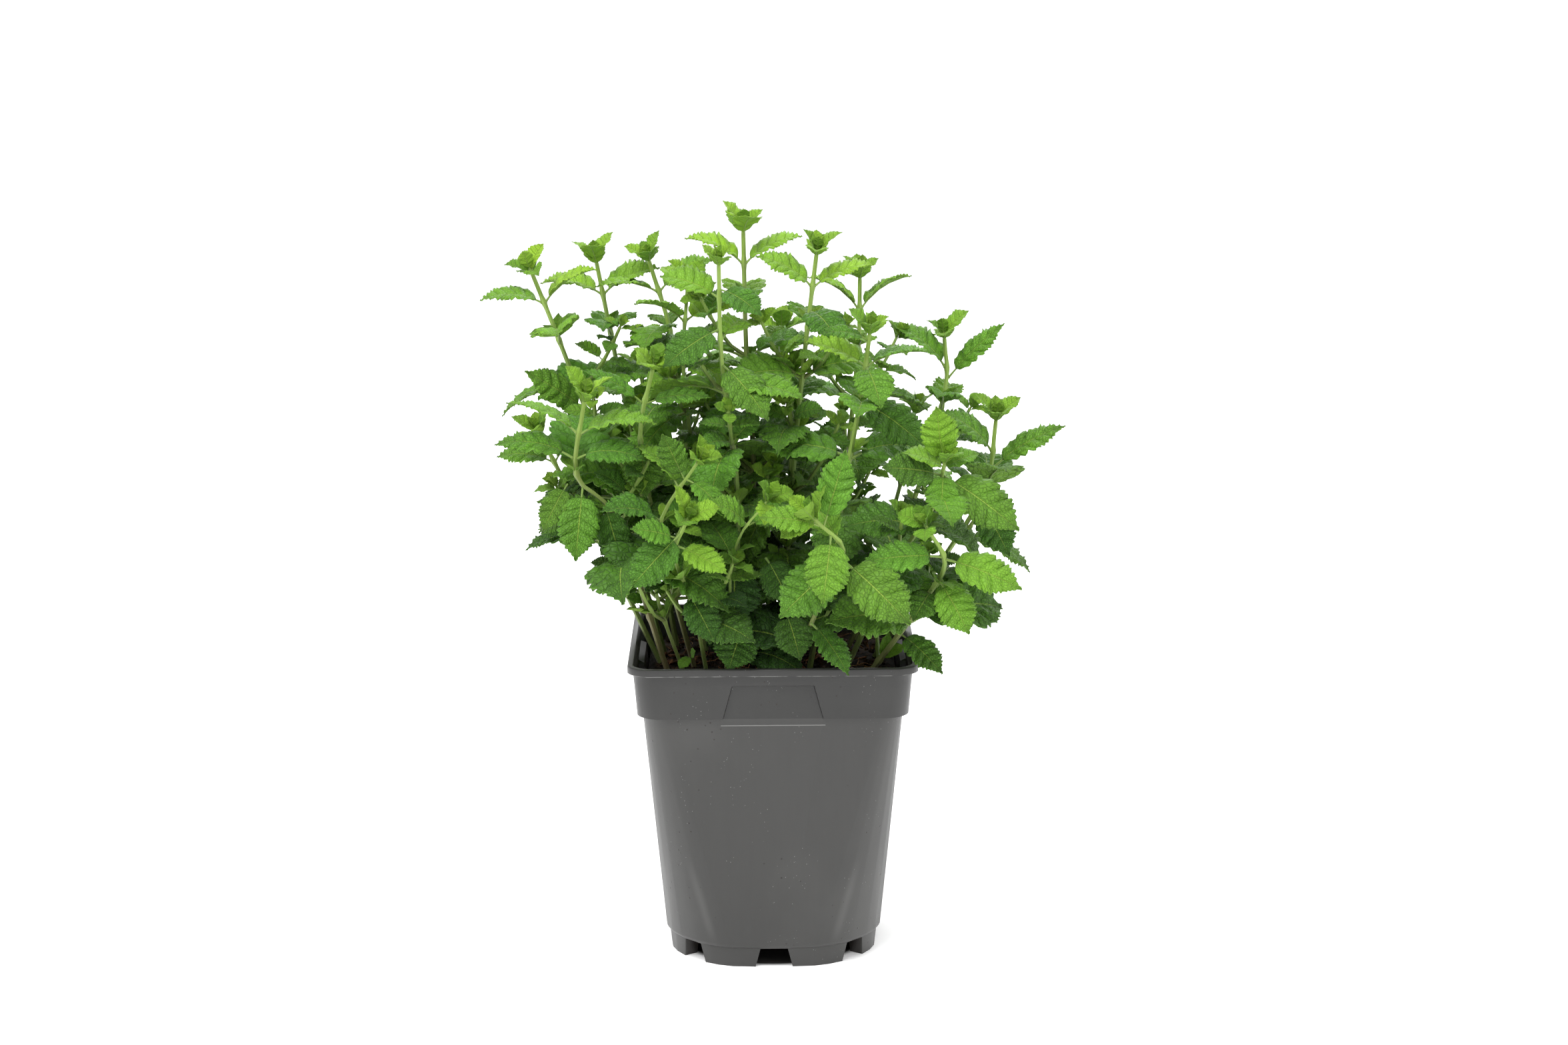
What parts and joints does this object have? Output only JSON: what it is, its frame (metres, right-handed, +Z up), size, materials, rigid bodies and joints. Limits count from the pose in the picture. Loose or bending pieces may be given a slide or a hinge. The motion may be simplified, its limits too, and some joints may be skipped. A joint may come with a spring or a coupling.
{
  "type": "potted mint plant",
  "caption": "Bushy mint plant with square stems and opposite toothed leaves, growing in a square tapered plastic nursery pot.",
  "frame": {"origin": "on the pot's axis, in the plane of the feet's soles, which is the surface that the pot stands on", "axes": "+Z up along the pot's axis, -Y towards the front side of the pot, +X to the right seen from the front"},
  "size_m": [0.2663, 0.22, 0.347],
  "materials": {
    "pot_plastic": "grey injection-moulded polypropylene with a soft satin sheen",
    "peat": "dark damp peat with red-brown fibres",
    "stem_skin": "light green hairy square stem, brown-purple low down on the older ones",
    "leaf_skin": "soft green quilted leaf with pale midrib and sunken veins"
  },
  "bodies": {
    "root": {"pot": "pot_plastic", "root_ball": "peat", "stem_01": "stem_skin", "stem_02": "stem_skin", "stem_03": "stem_skin", "stem_04": "stem_skin", "stem_05": "stem_skin", "stem_06": "stem_skin", "stem_07": "stem_skin", "stem_08": "stem_skin", "stem_09": "stem_skin", "stem_10": "stem_skin", "stem_11": "stem_skin", "stem_12": "stem_skin", "stem_13": "stem_skin", "stem_14": "stem_skin", "stem_15": "stem_skin", "stem_16": "stem_skin", "stem_17": "stem_skin", "stem_18": "stem_skin", "stem_19": "stem_skin", "stem_20": "stem_skin", "stem_21": "stem_skin", "stem_22": "stem_skin", "stem_23": "stem_skin", "stem_24": "stem_skin", "stem_25": "stem_skin", "leaves_01_1": "leaf_skin", "leaves_01_3": "leaf_skin", "leaves_02_1": "leaf_skin", "leaves_02_2": "leaf_skin", "leaves_03_1": "leaf_skin", "leaves_04_1": "leaf_skin", "leaves_05_1": "leaf_skin", "leaves_05_3": "leaf_skin", "leaves_06_1": "leaf_skin", "leaves_06_3": "leaf_skin", "leaves_07_1": "leaf_skin", "leaves_08_1": "leaf_skin", "leaves_09_1": "leaf_skin", "leaves_09_2": "leaf_skin", "leaves_10_1": "leaf_skin", "leaves_11_1": "leaf_skin", "leaves_11_2": "leaf_skin", "leaves_12_1": "leaf_skin", "leaves_13_1": "leaf_skin", "leaves_14_1": "leaf_skin", "leaves_15_1": "leaf_skin", "leaves_16_1": "leaf_skin", "leaves_17_1": "leaf_skin", "leaves_18_1": "leaf_skin", "leaves_19_1": "leaf_skin", "leaves_20_1": "leaf_skin", "leaves_20_2": "leaf_skin", "leaves_21_1": "leaf_skin", "leaves_22_1": "leaf_skin", "leaves_22_2": "leaf_skin", "leaves_23_1": "leaf_skin", "leaves_24_1": "leaf_skin", "leaves_25_1": "leaf_skin"}
  },
  "joints": []
}
